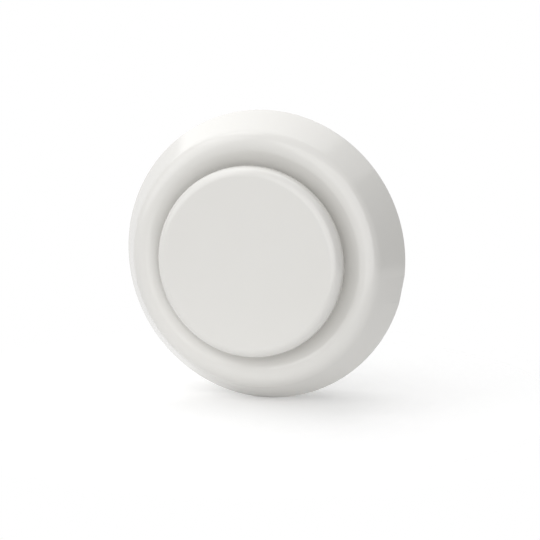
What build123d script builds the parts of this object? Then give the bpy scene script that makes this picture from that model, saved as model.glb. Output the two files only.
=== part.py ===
from build123d import *
import os
from math import cos, radians, sin, tan

# Extract air valve for a 125 mm round duct, in millimetres.
# The valve's axis is Y: the room is towards -Y and the duct towards +Y.
# The origin is on the axis, in the plane of the wall. +Z is up.
# A depth is a distance in front of the wall, so a point at depth d has y = -d.

# Driving dimensions: the moulded body
RIM_OVERHANG = 20.7
RIM_LAND = 0.8
RIM_EDGE_RADIUS = 0.3
RIM_FLAT_DEPTH = 0.4
RIM_FLAT_ANGLE = -10.5
BODY_WALL = 2.2
FLANK_ANGLE = 31.0
NOSE_RADIUS = 9.5
NOSE_DEPTH = 21.0
FUNNEL_ANGLE = 63.0
THROAT_STEP = 11.8
THROAT_EDGE_RADIUS = 1.5
THROAT_LENGTH = 23.0
WEB_COUNT = 12
WEB_START_ANGLE = 15.0
WEB_THICKNESS = 1.6

# Driving dimensions: the spider and its hub
SPOKE_COUNT = 3
SPOKE_START_ANGLE = 90.0
SPOKE_THICKNESS = 3.2
SPOKE_LENGTH = 9.0
HUB_WALL = 5.4
HUB_LENGTH = 14.5
HUB_TAIL = 4.0

# Driving dimensions: the bayonet between the body and the mounting ring
COLLAR_CLEARANCE = 0.3
COLLAR_WALL = 2.0
COLLAR_TAIL = 1.5
LUG_COUNT = 3
LUG_START_ANGLE = 30.0
LUG_SPAN = 8.0
LUG_LENGTH = 3.5
LUG_FRONT = 5.5
LUG_OUTER_CLEARANCE = 0.5
LUG_SIDE_CLEARANCE = 0.3
LUG_END_SPAN = 0.6
TWIST_ANGLE = 18.0

# Driving dimensions: the mounting ring and its gasket
SPIGOT_RADIUS = 61.8
SPIGOT_WALL = 1.8
SPIGOT_LENGTH = 32.0
SPIGOT_CHAMFER = 0.8
FLANGE_THICKNESS = 2.5
FLANGE_EDGE_RADIUS = 0.6
FLANGE_CLEARANCE = 2.7
SCREW_HOLE_RADIUS = 2.3
SCREW_COUNT = 3
SCREW_START_ANGLE = 90.0
GASKET_INSET = 0.8
GASKET_WIDTH = 5.4
GASKET_THICKNESS = 2.8
GASKET_GAP = 0.3
LEDGE_THICKNESS = 2.0
LEDGE_MARGIN = 0.6

# Driving dimensions: the disc
DISC_OVERLAP = 3.7
DISC_WALL = 2.2
DISC_STAND_OFF = 10.2
DISC_EDGE_RADIUS = 5.5
DISC_LAND = 2.8
DISC_RIB_COUNT = 12
DISC_RIB_THICKNESS = 1.4
DISC_RIB_HEIGHT = 4.2
BOSS_WALL = 3.0
BOSS_LENGTH = 12.0
BOSS_FLOOR = 0.6

# Driving dimensions: the spindle and what is on it
SPINDLE_RADIUS = 5.0
SPINDLE_TAIL = 1.5
SPINDLE_CHAMFER = 0.8
THREAD_CLEARANCE = 0.06
FACE_GAP = 0.1
WASHER_WIDTH = 4.7
WASHER_THICKNESS = 1.0
WASHER_CLEARANCE = 0.3
NUT_WALL = 7.0
NUT_LENGTH = 6.0
NUT_CHAMFER = 0.7
NUT_GRIP_COUNT = 12
NUT_GRIP_RADIUS = 2.2
NUT_GRIP_DEPTH = 1.0
NUT_BACK_OFF = 4.5
DISC_OPENING_TRAVEL = 7.5
CLIP_WIDTH = 4.2
CLIP_THICKNESS = 1.2
CLIP_GROOVE_DEPTH = 1.2
CLIP_CLEARANCE = 0.08
CLIP_MOUTH = 6.4

# How far a cutting or joining solid runs past the face that it meets
OVERRUN = 1.0


def turned(profile):
    """A closed outline of (radius, y) turned once around the valve's axis."""
    return revolve(make_face(profile), Axis.Y)


def tube(outer, inner, front, rear):
    """A plain ring between two radii, from y = front to y = rear."""
    corners = [(inner, front), (outer, front), (outer, rear), (inner, rear)]
    return turned(Polyline(*corners, close=True))


def sector(outer, inner, front, rear, centre, span):
    """The part of a ring that spans some degrees either side of an angle."""
    corners = [(inner, front), (outer, front), (outer, rear), (inner, rear)]
    slice_of_ring = revolve(make_face(Polyline(*corners, close=True)), Axis.Y, span)
    return at_angle(slice_of_ring, centre + span / 2)


def at_angle(shape, angle):
    """Turn a shape about the axis, from +X towards +Z."""
    return Rot(0, -angle, 0) * shape


def around(shape, count, start=0.0):
    """Equal copies of a shape around the axis, the first at the start angle."""
    return [at_angle(shape, start + 360.0 * index / count) for index in range(count)]


def radial_plate(inner, outer, front, rear, thickness):
    """A flat plate that stands along +X from the axis, on edge."""
    length = outer - inner
    depth = rear - front
    return Pos((inner + outer) / 2, (front + rear) / 2, 0) * Box(length, depth, thickness)


# Places that several pieces share
flank_slope = tan(radians(FLANK_ANGLE))
rim_radius = SPIGOT_RADIUS + RIM_OVERHANG
throat_radius = SPIGOT_RADIUS - THROAT_STEP
disc_radius = throat_radius + DISC_OVERLAP
nose_centre_depth = NOSE_DEPTH - NOSE_RADIUS
nose_to_rim = NOSE_RADIUS / cos(radians(FLANK_ANGLE)) + (nose_centre_depth - RIM_LAND) * flank_slope
nose_centre_radius = rim_radius - nose_to_rim


def nose_point(offset, angle):
    """A point on the nose's round, a given distance inside its outer face."""
    radius = NOSE_RADIUS - offset
    along = nose_centre_radius + radius * cos(radians(angle))
    depth = nose_centre_depth + radius * sin(radians(angle))
    return (along, -depth)


def funnel_point(offset, radius):
    """A point on the funnel's cone, a given distance behind its face."""
    start_radius, start_y = nose_point(offset, 180.0 - FUNNEL_ANGLE)
    return (radius, start_y + (start_radius - radius) / tan(radians(FUNNEL_ANGLE)))


def skirt_point(offset, depth):
    """A point on the skirt's cone, a given distance inside its outer face."""
    radius = rim_radius - (depth - RIM_LAND) * flank_slope - offset / cos(radians(FLANK_ANGLE))
    return (radius, -depth)


spigot_inner = SPIGOT_RADIUS - SPIGOT_WALL
collar_radius = spigot_inner - COLLAR_CLEARANCE
lug_radius = SPIGOT_RADIUS - LUG_OUTER_CLEARANCE
lug_rear = LUG_FRONT + LUG_LENGTH
gasket_inner = spigot_inner + GASKET_INSET
gasket_outer = gasket_inner + GASKET_WIDTH
gasket_front = -FLANGE_THICKNESS - GASKET_GAP - GASKET_THICKNESS
ledge_front = gasket_front - LEDGE_THICKNESS
flange_radius = skirt_point(BODY_WALL, FLANGE_THICKNESS)[0] - FLANGE_CLEARANCE
throat_front = funnel_point(0.0, throat_radius)[1]
throat_rear = throat_front + THROAT_LENGTH
hub_bore = SPINDLE_RADIUS + THREAD_CLEARANCE
hub_rear = throat_rear + HUB_TAIL
disc_face_depth = NOSE_DEPTH + DISC_STAND_OFF
disc_face_back = -(disc_face_depth - DISC_WALL)
washer_front = hub_rear + FACE_GAP
nut_front = washer_front + WASHER_THICKNESS + FACE_GAP
clip_front = nut_front + NUT_LENGTH + NUT_BACK_OFF + DISC_OPENING_TRAVEL + CLIP_CLEARANCE + FACE_GAP
clip_rear = clip_front + CLIP_THICKNESS
groove_radius = SPINDLE_RADIUS - CLIP_GROOVE_DEPTH
spindle_front = disc_face_back + BOSS_FLOOR
spindle_rear = clip_rear + CLIP_CLEARANCE + SPINDLE_TAIL


def face_edges(offset, skirt_depth, inner_radius):
    """Skirt, nose and funnel in section, from a depth on the skirt in to a radius."""
    flank_end = nose_point(offset, FLANK_ANGLE)
    nose_top = nose_point(offset, 90.0)
    funnel_start = nose_point(offset, 180.0 - FUNNEL_ANGLE)
    return [
        Line(skirt_point(offset, skirt_depth), flank_end),
        ThreePointArc(flank_end, nose_top, funnel_start),
        Line(funnel_start, funnel_point(offset, inner_radius)),
    ]


def body_shell():
    """Rim, skirt, nose, funnel and throat tube as one wall of even thickness."""
    throat_outer = throat_radius + BODY_WALL
    throat = Polyline(
        (throat_radius, throat_front),
        (throat_radius, throat_rear),
        (throat_outer, throat_rear),
        funnel_point(BODY_WALL, throat_outer),
    )
    rim = Polyline(skirt_point(BODY_WALL, 0.0), (rim_radius, 0.0), (rim_radius, -RIM_LAND))
    outer = face_edges(0.0, RIM_LAND, throat_radius)
    inner = face_edges(BODY_WALL, 0.0, throat_outer)
    section = make_face([*outer, throat, *inner, rim])
    throat_corner = section.vertices().sort_by_distance(Vector(throat_radius, throat_front))[0]
    section = fillet(throat_corner, THROAT_EDGE_RADIUS)
    rim_corner = section.vertices().sort_by_distance(Vector(rim_radius, 0.0))[0]
    section = fillet(rim_corner, RIM_EDGE_RADIUS)
    return revolve(section, Axis.Y)


def body_back():
    """What stands behind the nose: bayonet collar with lugs, gasket ledge and webs."""
    collar_inner = collar_radius - COLLAR_WALL
    mid_wall = BODY_WALL / 2
    root = funnel_point(mid_wall, collar_inner)
    collar = tube(collar_radius, collar_inner, root[1], lug_rear + COLLAR_TAIL)
    ledge = tube(gasket_outer + LEDGE_MARGIN, collar_inner, ledge_front, gasket_front)
    lug = sector(lug_radius, collar_inner, LUG_FRONT, lug_rear, 0.0, LUG_SPAN)
    web_rear = (ledge_front + gasket_front) / 2
    web = radial_plate(collar_inner, rim_radius, -NOSE_DEPTH, web_rear, WEB_THICKNESS)
    behind_face = Polyline(root, (collar_inner, 0.0), skirt_point(mid_wall, 0.0))
    hollow = turned([*face_edges(mid_wall, 0.0, collar_inner), behind_face])
    webs = (Part() + around(web, WEB_COUNT, WEB_START_ANGLE)) & hollow
    return [collar, ledge, *around(lug, LUG_COUNT, LUG_START_ANGLE), webs]


def body_spider():
    """Spokes across the throat and the hub that they carry."""
    hub = tube(hub_bore + HUB_WALL, hub_bore, hub_rear - HUB_LENGTH, hub_rear)
    spoke_inner = hub_bore + HUB_WALL / 2
    spoke_outer = throat_radius + BODY_WALL / 2
    spoke = radial_plate(spoke_inner, spoke_outer, throat_rear - SPOKE_LENGTH, throat_rear, SPOKE_THICKNESS)
    return [hub, *around(spoke, SPOKE_COUNT, SPOKE_START_ANGLE)]


def valve_body():
    """The body: one moulding, with a small flat on its rim."""
    flat_inner = rim_radius - RIM_FLAT_DEPTH
    flat = radial_plate(flat_inner, rim_radius + OVERRUN, -NOSE_DEPTH, OVERRUN, rim_radius)
    body = body_shell() + body_back() + body_spider()
    return body - at_angle(flat, RIM_FLAT_ANGLE)


def ring_blank():
    """Flange and spigot of the mounting ring, turned as one piece."""
    section = make_face(
        Polyline(
            (spigot_inner, -FLANGE_THICKNESS),
            (flange_radius, -FLANGE_THICKNESS),
            (flange_radius, 0.0),
            (SPIGOT_RADIUS, 0.0),
            (SPIGOT_RADIUS, SPIGOT_LENGTH - SPIGOT_CHAMFER),
            (SPIGOT_RADIUS - SPIGOT_CHAMFER, SPIGOT_LENGTH),
            (spigot_inner, SPIGOT_LENGTH),
            close=True,
        )
    )
    flange_corner = section.vertices().sort_by_distance(Vector(flange_radius, -FLANGE_THICKNESS))[0]
    return revolve(fillet(flange_corner, FLANGE_EDGE_RADIUS), Axis.Y)


def bayonet_track():
    """An entry from the flange and the run that a lug turns along, for a lug at angle 0."""
    inner = spigot_inner - OVERRUN
    front = LUG_FRONT - LUG_SIDE_CLEARANCE
    rear = lug_rear + LUG_SIDE_CLEARANCE
    span = LUG_SPAN + 2 * LUG_END_SPAN
    run = sector(SPIGOT_RADIUS, inner, front, rear, TWIST_ANGLE / 2, span + TWIST_ANGLE)
    entry = sector(SPIGOT_RADIUS, inner, -FLANGE_THICKNESS - OVERRUN, rear, TWIST_ANGLE, span)
    return run + entry


def mounting_ring():
    """The ring, with its screw holes and bayonet tracks cut."""
    screw_circle_radius = (gasket_outer + flange_radius) / 2
    hole_length = 2 * (FLANGE_THICKNESS + OVERRUN)
    hole = Pos(screw_circle_radius, 0, 0) * Rot(90, 0, 0) * Cylinder(SCREW_HOLE_RADIUS, hole_length)
    holes = around(hole, SCREW_COUNT, SCREW_START_ANGLE)
    tracks = around(bayonet_track(), LUG_COUNT, LUG_START_ANGLE)
    return ring_blank() - [*holes, *tracks]


def flange_gasket():
    """Foam ring bonded to the body's ledge, facing the ring's flange."""
    return tube(gasket_outer, gasket_inner, gasket_front, gasket_front + GASKET_THICKNESS)


def disc_edges(offset):
    """Flat face, rounded edge and land in section, from the axis outwards."""
    radius = DISC_EDGE_RADIUS - offset
    centre_radius = disc_radius - DISC_EDGE_RADIUS
    centre_y = -(disc_face_depth - DISC_EDGE_RADIUS)
    middle = radius * cos(radians(45.0))
    face_end = (centre_radius, centre_y - radius)
    round_middle = (centre_radius + middle, centre_y - middle)
    round_end = (centre_radius + radius, centre_y)
    return [
        Line((0.0, centre_y - radius), face_end),
        ThreePointArc(face_end, round_middle, round_end),
        Line(round_end, (centre_radius + radius, centre_y + DISC_LAND)),
    ]


def centre_disc():
    """The disc: an open-backed cup with radial ribs and a blind boss."""
    rear = -(disc_face_depth - DISC_EDGE_RADIUS - DISC_LAND)
    mid_wall = DISC_WALL / 2
    lip = Line((disc_radius, rear), (disc_radius - DISC_WALL, rear))
    middle = Line((0.0, disc_face_back), (0.0, -disc_face_depth))
    cup = turned([*disc_edges(0.0), lip, *disc_edges(DISC_WALL), middle])
    boss_radius = SPINDLE_RADIUS + BOSS_WALL
    boss_rear = disc_face_back + BOSS_LENGTH
    boss = turned(
        Polyline(
            (0.0, disc_face_back - mid_wall),
            (boss_radius, disc_face_back - mid_wall),
            (boss_radius, boss_rear),
            (SPINDLE_RADIUS, boss_rear),
            (SPINDLE_RADIUS, spindle_front),
            (0.0, spindle_front),
            close=True,
        )
    )
    rib_inner = SPINDLE_RADIUS + BOSS_WALL / 2
    rib_rear = disc_face_back + DISC_RIB_HEIGHT
    rib = radial_plate(rib_inner, disc_radius, -disc_face_depth, rib_rear, DISC_RIB_THICKNESS)
    back = Polyline((disc_radius - mid_wall, rear), (0.0, rear), (0.0, disc_face_back - mid_wall))
    hollow = turned([*disc_edges(mid_wall), back])
    ribs = (Part() + around(rib, DISC_RIB_COUNT)) & hollow
    return cup + [boss, ribs]


def spindle():
    """The stem, with a clip groove near its rear end."""
    groove_front = clip_front - CLIP_CLEARANCE
    groove_rear = clip_rear + CLIP_CLEARANCE
    return turned(
        Polyline(
            (0.0, spindle_front),
            (SPINDLE_RADIUS, spindle_front),
            (SPINDLE_RADIUS, groove_front),
            (groove_radius, groove_front),
            (groove_radius, groove_rear),
            (SPINDLE_RADIUS, groove_rear),
            (SPINDLE_RADIUS, spindle_rear - SPINDLE_CHAMFER),
            (SPINDLE_RADIUS - SPINDLE_CHAMFER, spindle_rear),
            (0.0, spindle_rear),
            close=True,
        )
    )


def stop_clip():
    """Open clip in the spindle's groove."""
    bore = groove_radius + CLIP_CLEARANCE
    outer = bore + CLIP_WIDTH
    mouth = Box(CLIP_MOUTH, 2 * CLIP_THICKNESS, outer, align=(Align.CENTER, Align.CENTER, Align.MAX))
    return tube(outer, bore, clip_front, clip_rear) - Pos(0, (clip_front + clip_rear) / 2, 0) * mouth


def lock_washer():
    """Plain washer between the hub and the nut."""
    bore = SPINDLE_RADIUS + WASHER_CLEARANCE
    return tube(bore + WASHER_WIDTH, bore, washer_front, washer_front + WASHER_THICKNESS)


def lock_nut():
    """Round finger nut with scalloped grips."""
    nut_rear = nut_front + NUT_LENGTH
    nut_radius = hub_bore + NUT_WALL
    blank = turned(
        Polyline(
            (hub_bore, nut_front),
            (nut_radius - NUT_CHAMFER, nut_front),
            (nut_radius, nut_front + NUT_CHAMFER),
            (nut_radius, nut_rear - NUT_CHAMFER),
            (nut_radius - NUT_CHAMFER, nut_rear),
            (hub_bore, nut_rear),
            close=True,
        )
    )
    grip_centre = Pos(nut_radius - NUT_GRIP_DEPTH + NUT_GRIP_RADIUS, (nut_front + nut_rear) / 2, 0)
    grip = grip_centre * Rot(90, 0, 0) * Cylinder(NUT_GRIP_RADIUS, NUT_LENGTH + OVERRUN)
    return blank - around(grip, NUT_GRIP_COUNT)


PIECES = {
    "mounting_ring": mounting_ring,
    "valve_body": valve_body,
    "flange_gasket": flange_gasket,
    "centre_disc": centre_disc,
    "spindle": spindle,
    "stop_clip": stop_clip,
    "lock_washer": lock_washer,
    "lock_nut": lock_nut,
}

os.makedirs("parts", exist_ok=True)
for name, make in PIECES.items():
    piece = make()
    export_step(piece, f"parts/{name}.step")
    print(name, len(piece.solids()), "solid", round(piece.volume), "mm3")
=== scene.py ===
# %% [markdown]
# # An extract air valve
# This valve sits in a bathroom or kitchen ceiling and lets used air into a duct. Almost everything
# on it is round: a skirted body with a soft nose, a funnel, and a disc that screws in and out in
# front of the funnel. We load the imported model first. It is the fixed frame that every mesh below
# has to fit, so we read the box of each node from it.

# %% Load the frame
from math import cos, pi, radians, sin, sqrt, tan, tau

import bmesh
import bpy
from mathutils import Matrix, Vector, noise


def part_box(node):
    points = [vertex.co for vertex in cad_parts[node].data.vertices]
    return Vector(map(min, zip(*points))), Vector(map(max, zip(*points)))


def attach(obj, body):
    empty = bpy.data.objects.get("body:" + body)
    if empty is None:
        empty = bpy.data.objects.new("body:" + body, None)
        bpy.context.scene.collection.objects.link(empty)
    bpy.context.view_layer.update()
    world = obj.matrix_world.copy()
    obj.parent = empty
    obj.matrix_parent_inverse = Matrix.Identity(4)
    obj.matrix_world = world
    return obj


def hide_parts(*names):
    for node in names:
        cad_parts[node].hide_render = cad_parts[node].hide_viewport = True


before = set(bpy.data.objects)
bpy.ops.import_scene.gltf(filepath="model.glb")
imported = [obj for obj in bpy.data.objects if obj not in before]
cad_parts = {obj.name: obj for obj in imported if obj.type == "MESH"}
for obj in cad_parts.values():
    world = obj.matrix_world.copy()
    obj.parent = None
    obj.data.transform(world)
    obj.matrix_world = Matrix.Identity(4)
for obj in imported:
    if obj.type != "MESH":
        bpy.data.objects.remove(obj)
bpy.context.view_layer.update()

MM = 0.001

# %% [markdown]
# ## Where each piece begins and ends
# The valve's axis is Y, the room is towards -Y, and y = 0 is the plane of the wall. Typing every
# size again would let the looks drift from the frame, so the outer radius, front and rear of each
# piece are read from its node. Only walls, angles and roundings are given here, in millimetres.


# %% Read the reach of every node
def reach(node):
    """A node's outer radius, front and rear, in millimetres from the axis and the wall."""
    low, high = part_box(node)
    return round(-low.x / MM, 2), round(low.y / MM, 3), round(high.y / MM, 3)


NOSE_DEPTH = 21.0
nose_front = -NOSE_DEPTH
rim_radius, _, hub_rear = reach("valve_body")
disc_radius, disc_front, boss_rear = reach("centre_disc")
flange_radius, flange_front, spigot_rear = reach("mounting_ring")
gasket_radius, gasket_front, gasket_rear = reach("flange_gasket")
spindle_radius, spindle_front, spindle_rear = reach("spindle")
clip_radius, clip_front, clip_rear = reach("stop_clip")
washer_radius, washer_front, washer_rear = reach("lock_washer")
nut_front, nut_rear = reach("lock_nut")[1:]
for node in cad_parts:
    print(node, "radius, front, rear:", reach(node))

# %% [markdown]
# ## Helpers for building node trees
# Three Geometry Nodes trees do the shaping below, and one shader group serves all the plastics. Each
# is a list of nodes and wires, so three small helpers keep the code short: one adds a node with its
# settings and plain values, one links sockets, and one opens a tree with named inputs.


# %% Tree helpers
def add(tree, kind, values=None, **settings):
    """A new node in a tree, with its settings and the plain values of its inputs."""
    node = tree.nodes.new(kind)
    for setting, value in settings.items():
        setattr(node, setting, value)
    for socket, value in (values or {}).items():
        node.inputs[socket].default_value = value
    return node


def wire(tree, *pairs):
    """Link pairs of output and input sockets."""
    for source, target in pairs:
        tree.links.new(source, target)


def open_tree(name, kind, inputs, outputs):
    """A tree with named sockets, and its two end nodes."""
    tree = bpy.data.node_groups.new(name, kind)
    for label, socket in outputs.items():
        tree.interface.new_socket(label, in_out="OUTPUT", socket_type=socket)
    for label, socket in inputs.items():
        tree.interface.new_socket(label, in_out="INPUT", socket_type=socket)
    return tree, add(tree, "NodeGroupInput").outputs, add(tree, "NodeGroupOutput").inputs


GEOMETRY = {"Geometry": "NodeSocketGeometry"}
print("helpers ready")

# %% [markdown]
# ## A tree that sweeps an outline
# Most pieces are one wall of even thickness turned round the axis. They could be spun from a row of
# vertices or lathed with a Screw modifier, but a tree lets us give only the sharp corners of the
# section. Each corner carries its own rounding as an attribute, Fillet Curve rounds it, and Curve to
# Mesh takes the section round a circle, along an arc, or straight across for flat plates.


# %% Build the sweep tree
def build_sweep_tree():
    tree, given, result = open_tree(
        "swept_outline",
        "GeometryNodeTree",
        GEOMETRY
        | {
            "Straight": "NodeSocketBool",
            "Whole Turn": "NodeSocketBool",
            "Start": "NodeSocketFloat",
            "Sweep": "NodeSocketFloat",
            "Steps": "NodeSocketInt",
            "Corner Steps": "NodeSocketInt",
            "Material": "NodeSocketMaterial",
        },
        GEOMETRY,
    )
    path_radius = 10 * MM
    section = add(tree, "GeometryNodeMeshToCurve")
    rounding = add(tree, "GeometryNodeInputNamedAttribute", {"Name": "round"}, data_type="FLOAT")
    rounded = add(tree, "GeometryNodeFilletCurve", mode="POLY")
    wire(
        tree,
        (given["Geometry"], section.inputs["Mesh"]),
        (section.outputs["Curve"], rounded.inputs["Curve"]),
        (rounding.outputs["Attribute"], rounded.inputs["Radius"]),
        (given["Corner Steps"], rounded.inputs["Count"]),
    )
    # The section rides on a small circle, so it is moved in by the circle's radius first.
    moved_in = add(tree, "GeometryNodeTransform", {"Translation": (-path_radius, 0, 0)})
    circle = add(tree, "GeometryNodeCurvePrimitiveCircle", {"Radius": path_radius}, mode="RADIUS")
    arc = add(tree, "GeometryNodeCurveArc", {"Radius": path_radius}, mode="RADIUS")
    path = add(tree, "GeometryNodeSwitch", input_type="GEOMETRY")
    turned = add(tree, "GeometryNodeCurveToMesh", {"Fill Caps": True})
    upright = add(tree, "GeometryNodeTransform", {"Rotation": (pi / 2, 0, 0)})
    wire(
        tree,
        (rounded.outputs["Curve"], moved_in.inputs["Geometry"]),
        (given["Steps"], circle.inputs["Resolution"]),
        (given["Steps"], arc.inputs["Resolution"]),
        (given["Start"], arc.inputs["Start Angle"]),
        (given["Sweep"], arc.inputs["Sweep Angle"]),
        (given["Whole Turn"], path.inputs["Switch"]),
        (arc.outputs["Curve"], path.inputs["False"]),
        (circle.outputs["Curve"], path.inputs["True"]),
        (path.outputs["Output"], turned.inputs["Curve"]),
        (moved_in.outputs["Geometry"], turned.inputs["Profile Curve"]),
        (turned.outputs["Mesh"], upright.inputs["Geometry"]),
    )
    # A plate is the same section carried straight along Z, from Start over Sweep.
    foot = add(tree, "ShaderNodeCombineXYZ")
    line = add(tree, "GeometryNodeCurvePrimitiveLine", {"Direction": (0, 0, 1)}, mode="DIRECTION")
    plate = add(tree, "GeometryNodeCurveToMesh", {"Fill Caps": True})
    shape = add(tree, "GeometryNodeSwitch", input_type="GEOMETRY")
    closed = add(tree, "GeometryNodeMergeByDistance", {"Distance": 0.001 * MM})
    real = add(tree, "GeometryNodeRealizeInstances")
    dressed = add(tree, "GeometryNodeSetMaterial")
    wire(
        tree,
        (given["Start"], foot.inputs["Z"]),
        (foot.outputs["Vector"], line.inputs["Start"]),
        (given["Sweep"], line.inputs["Length"]),
        (line.outputs["Curve"], plate.inputs["Curve"]),
        (rounded.outputs["Curve"], plate.inputs["Profile Curve"]),
        (given["Straight"], shape.inputs["Switch"]),
        (upright.outputs["Geometry"], shape.inputs["False"]),
        (plate.outputs["Mesh"], shape.inputs["True"]),
        (shape.outputs["Output"], closed.inputs["Geometry"]),
        (closed.outputs["Geometry"], real.inputs["Geometry"]),
        (real.outputs["Geometry"], dressed.inputs["Geometry"]),
        (given["Material"], dressed.inputs["Material"]),
        (dressed.outputs["Geometry"], result["Geometry"]),
    )
    return tree


sweep_tree = build_sweep_tree()
print("swept_outline:", len(sweep_tree.nodes), "nodes")

# %% [markdown]
# ## A tree that works a feature round the axis
# Webs, spokes, ribs, lugs, screw holes and finger grips all repeat at equal angles. An Array modifier
# with an offset object could place them, but they also have to become one body with the wall, or be
# cut out of it. This tree sets one feature on a ring of points, turns each copy to its angle, and then
# joins or cuts them all in one Boolean.


# %% Build the work-round tree
def build_round_tree():
    tree, given, result = open_tree(
        "worked_round",
        "GeometryNodeTree",
        GEOMETRY
        | {
            "Feature": "NodeSocketObject",
            "Count": "NodeSocketInt",
            "Start": "NodeSocketFloat",
            "Cut": "NodeSocketBool",
            "Material": "NodeSocketMaterial",
        },
        GEOMETRY,
    )
    feature = add(tree, "GeometryNodeObjectInfo", transform_space="RELATIVE")
    places = add(tree, "GeometryNodePoints")
    index = add(tree, "GeometryNodeInputIndex")
    step = add(tree, "ShaderNodeMath", {0: -tau}, operation="DIVIDE")
    angle = add(tree, "ShaderNodeMath", operation="MULTIPLY")
    from_start = add(tree, "ShaderNodeMath", operation="SUBTRACT")
    turn = add(tree, "ShaderNodeCombineXYZ")
    copies = add(tree, "GeometryNodeInstanceOnPoints")
    real = add(tree, "GeometryNodeRealizeInstances")
    wire(
        tree,
        (given["Feature"], feature.inputs["Object"]),
        (given["Count"], places.inputs["Count"]),
        (given["Count"], step.inputs[1]),
        (step.outputs[0], angle.inputs[0]),
        (index.outputs[0], angle.inputs[1]),
        (angle.outputs[0], from_start.inputs[0]),
        (given["Start"], from_start.inputs[1]),
        (from_start.outputs[0], turn.inputs["Y"]),
        (turn.outputs["Vector"], copies.inputs["Rotation"]),
        (places.outputs["Points"], copies.inputs["Points"]),
        (feature.outputs["Geometry"], copies.inputs["Instance"]),
        (copies.outputs["Instances"], real.inputs["Geometry"]),
    )
    joined = add(tree, "GeometryNodeMeshBoolean", operation="UNION", solver="MANIFOLD")
    cut = add(tree, "GeometryNodeMeshBoolean", operation="DIFFERENCE", solver="MANIFOLD")
    chosen = add(tree, "GeometryNodeSwitch", input_type="GEOMETRY")
    whole = add(tree, "GeometryNodeRealizeInstances")
    dressed = add(tree, "GeometryNodeSetMaterial")
    wire(
        tree,
        (given["Geometry"], joined.inputs["Mesh 2"]),
        (real.outputs["Geometry"], joined.inputs["Mesh 2"]),
        (given["Geometry"], cut.inputs["Mesh 1"]),
        (real.outputs["Geometry"], cut.inputs["Mesh 2"]),
        (given["Cut"], chosen.inputs["Switch"]),
        (joined.outputs["Mesh"], chosen.inputs["False"]),
        (cut.outputs["Mesh"], chosen.inputs["True"]),
        (chosen.outputs["Output"], whole.inputs["Geometry"]),
        (whole.outputs["Geometry"], dressed.inputs["Geometry"]),
        (given["Material"], dressed.inputs["Material"]),
        (dressed.outputs["Geometry"], result["Geometry"]),
    )
    return tree


round_tree = build_round_tree()
print("worked_round:", len(round_tree.nodes), "nodes")

# %% [markdown]
# ## Using the trees
# A tree shapes an object through a modifier, and a modifier's inputs are set by the identifier of
# each socket. When the shape is made we turn the evaluated object into a plain mesh and drop the
# modifier, because the frame and the export both want finished meshes.


# %% Modelling helpers
TURN_STEPS = 240
CORNER_STEPS = 10
LEAST_STEPS = 4
# How far a cutter reaches past what it cuts
PAST = 1.0


def shape_with(piece, tree, values):
    """Run a tree on a piece and keep the plain mesh that it makes, with its faces outwards."""
    modifier = piece.modifiers.new(tree.name, "NODES")
    modifier.node_group = tree
    for item in tree.interface.items_tree:
        if item.in_out == "INPUT" and item.name in values:
            modifier[item.identifier] = values[item.name]
    keep_plain(piece)
    work = bmesh.new()
    work.from_mesh(piece.data)
    bmesh.ops.recalc_face_normals(work, faces=work.faces)
    work.to_mesh(piece.data)
    work.free()
    return piece


def keep_plain(piece):
    """Swap a piece's live modifiers for the mesh that they make."""
    graph = bpy.context.evaluated_depsgraph_get()
    made = bpy.data.meshes.new_from_object(piece.evaluated_get(graph))
    made.name = piece.name
    piece.modifiers.clear()
    piece.data = made


def outline_object(name, corners, closed):
    """The corners of a section, (radius, y, rounding), as a chain of edges."""
    mesh = bpy.data.meshes.new(name)
    links = [(spot, spot + 1) for spot in range(len(corners) - 1)]
    if closed:
        links.append((len(corners) - 1, 0))
    mesh.from_pydata([(r * MM, y * MM, 0) for r, y, _ in corners], links, [])
    rounding = mesh.attributes.new("round", "FLOAT", "POINT")
    rounding.data.foreach_set("value", [corner[2] * MM for corner in corners])
    piece = bpy.data.objects.new(name, mesh)
    bpy.context.scene.collection.objects.link(piece)
    return piece


def rectangle(inner, outer, front, rear, rounding=0):
    """The four corners of a plain section, all with the same rounding."""
    return [
        (inner, front, rounding),
        (outer, front, rounding),
        (outer, rear, rounding),
        (inner, rear, rounding),
    ]


def turned(name, corners, material, closed=True, corner_steps=CORNER_STEPS, steps=TURN_STEPS):
    """A section turned all the way round the axis."""
    values = {"Whole Turn": True, "Steps": steps, "Corner Steps": corner_steps, "Material": material}
    return shape_with(outline_object(name, corners, closed), sweep_tree, values)


def sector(name, corners, span, material, middle=0.0):
    """A section turned over a few degrees, either side of an angle."""
    values = {"Start": radians(middle - span / 2), "Sweep": radians(span), "Material": material}
    values |= {"Steps": max(LEAST_STEPS, round(span)), "Corner Steps": LEAST_STEPS}
    return shape_with(outline_object(name, corners, True), sweep_tree, values)


def plate(name, corners, thickness, material):
    """A flat plate along +X with this outline, standing on edge."""
    values = {"Straight": True, "Start": -thickness * MM / 2, "Sweep": thickness * MM}
    values |= {"Corner Steps": CORNER_STEPS, "Material": material}
    return shape_with(outline_object(name, corners, True), sweep_tree, values)


def work_round(piece, feature, material, count=1, start=0.0, cut=False):
    """Join or cut equal copies of a feature round the axis, and clear the feature away."""
    values = {"Feature": feature, "Count": count, "Start": radians(start), "Cut": cut}
    shape_with(piece, round_tree, values | {"Material": material})
    bpy.data.objects.remove(feature)
    return piece


SMOOTH_LIMIT = radians(32)


def finish_piece(piece, node, body):
    """Shade a piece as a moulding is, and put it in its node's place on its body."""
    piece.data.shade_smooth()
    piece.data.set_sharp_from_angle(angle=SMOOTH_LIMIT)
    weighted = piece.modifiers.new("flat faces stay flat", "WEIGHTED_NORMAL")
    weighted.keep_sharp = True
    keep_plain(piece)
    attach(piece, body)
    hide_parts(node)
    print(piece.name, "on", body + ":", len(piece.data.polygons), "faces")


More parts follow.
